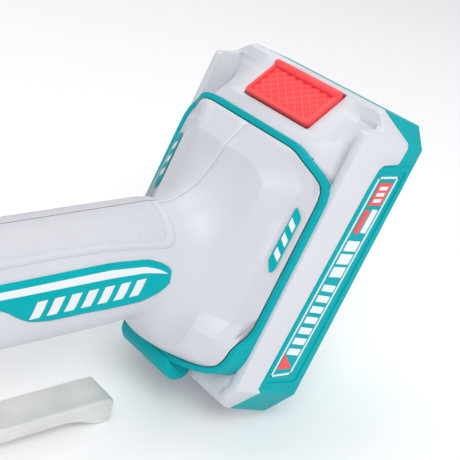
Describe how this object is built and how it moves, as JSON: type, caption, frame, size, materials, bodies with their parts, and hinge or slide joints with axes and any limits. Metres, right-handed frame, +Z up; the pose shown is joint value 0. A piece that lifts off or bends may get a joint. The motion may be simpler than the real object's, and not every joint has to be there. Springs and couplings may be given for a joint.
{
  "type": "cordless nibbler",
  "caption": "Cordless sheet-metal nibbler with a straight grip, punch-and-die head, hand guard bar and a slide-on battery pack with a sprung release button.",
  "frame": {"origin": "bottom centre of the bounding box, in the plane the die face and the guard's heel stand on", "axes": "+X back along the grip towards the battery, +Y to the tool's right, +Z up"},
  "size_m": [0.3094, 0.08, 0.1217],
  "materials": {
    "white_plastic": "fine satin moulded plastic",
    "soft_white": "matt soft overmould",
    "teal_plastic": "satin moulded plastic",
    "red_plastic": "semi-gloss moulded plastic",
    "cast_aluminium": "blasted die casting",
    "steel": "machined",
    "dark_plastic": "matt",
    "copper": "wound copper",
    "brass": "machined",
    "board_green": "solder mask",
    "cell_wrap": "shrink wrap",
    "clear_lens": "clear moulded"
  },
  "bodies": {
    "tool": {"left_housing": "white_plastic", "right_housing": "white_plastic", "left_grip_panel": "soft_white", "right_grip_panel": "soft_white", "left_badge": "teal_plastic", "right_badge": "teal_plastic", "foot_trim": "teal_plastic", "rest_bumper": "teal_plastic", "battery_shoe": "dark_plastic", "tool_terminal_block": "dark_plastic", "controller_board": "board_green", "motor_stator": "copper", "motor_rear_bearing": "steel", "motor_front_bearing": "steel", "gear_bearing": "steel", "guide_bush": "brass", "lock_collar": "steel", "gear_head": "cast_aluminium", "head_cover": "cast_aluminium", "switch_body": "dark_plastic", "hand_guard": "cast_aluminium", "guard_screw_1": "steel", "guard_screw_2": "steel", "housing_screw_1": "steel", "housing_screw_2": "steel", "housing_screw_3": "steel", "housing_screw_4": "steel", "work_light_lens": "clear_lens", "trigger_spring": "steel"},
    "motor": {"motor_rotor": "steel", "motor_shaft": "steel", "pinion": "steel", "cooling_fan": "dark_plastic"},
    "crank": {"drive_gear": "steel", "crank_shaft": "steel", "crank_roller": "steel"},
    "ram": {"ram_yoke": "steel", "punch": "steel"},
    "swivel_die": {"die_holder": "steel", "die": "steel"},
    "trigger": {"trigger": "red_plastic"},
    "lock_off": {"lock_off_button": "dark_plastic"},
    "battery": {"battery_upper_case": "white_plastic", "battery_lower_case": "teal_plastic", "cell_1": "cell_wrap", "cell_2": "cell_wrap", "cell_3": "cell_wrap", "cell_4": "cell_wrap", "cell_5": "cell_wrap", "cell_board": "board_green", "battery_terminals": "brass"},
    "release": {"release_button": "red_plastic", "latch_hook": "dark_plastic"}
  },
  "joints": [
    {"name": "gear_spin", "type": "hinge", "parent": "tool", "child": "crank", "pos_m": [-0.1166, 0, 0.079], "axis": [1, 0, 0], "continuous": true},
    {"name": "rotor_spin", "type": "hinge", "parent": "tool", "child": "motor", "pos_m": [-0.0746, 0, 0.0615], "axis": [1, 0, 0], "continuous": true},
    {"name": "ram_stroke", "type": "slide", "parent": "tool", "child": "ram", "axis": [0, 0, 1], "range_m": [-0.006, 0]},
    {"name": "die_swivel", "type": "hinge", "parent": "tool", "child": "swivel_die", "pos_m": [-0.1316, 0, 0.0115], "axis": [0, 0, 1], "range_deg": [-180, 180]},
    {"name": "trigger_pull", "type": "slide", "parent": "tool", "child": "trigger", "axis": [0, 0, 1], "range_m": [0, 0.005], "stiffness_N_per_m": 400, "deforming": ["trigger_spring"]},
    {"name": "lock_off_shift", "type": "slide", "parent": "tool", "child": "lock_off", "axis": [0, 1, 0], "range_m": [-0.003, 0.003]},
    {"name": "battery_slide", "type": "slide", "parent": "tool", "child": "battery", "axis": [0.3502, 0, 0.9367], "range_m": [0, 0.085]},
    {"name": "release_press", "type": "slide", "parent": "battery", "child": "release", "axis": [0.5663, 0, -0.8242], "range_m": [0, 0.0022], "stiffness_N_per_m": 900}
  ],
  "couplings": [
    {"joint": "gear_spin", "follows": "rotor_spin", "ratio": -0.25}
  ]
}
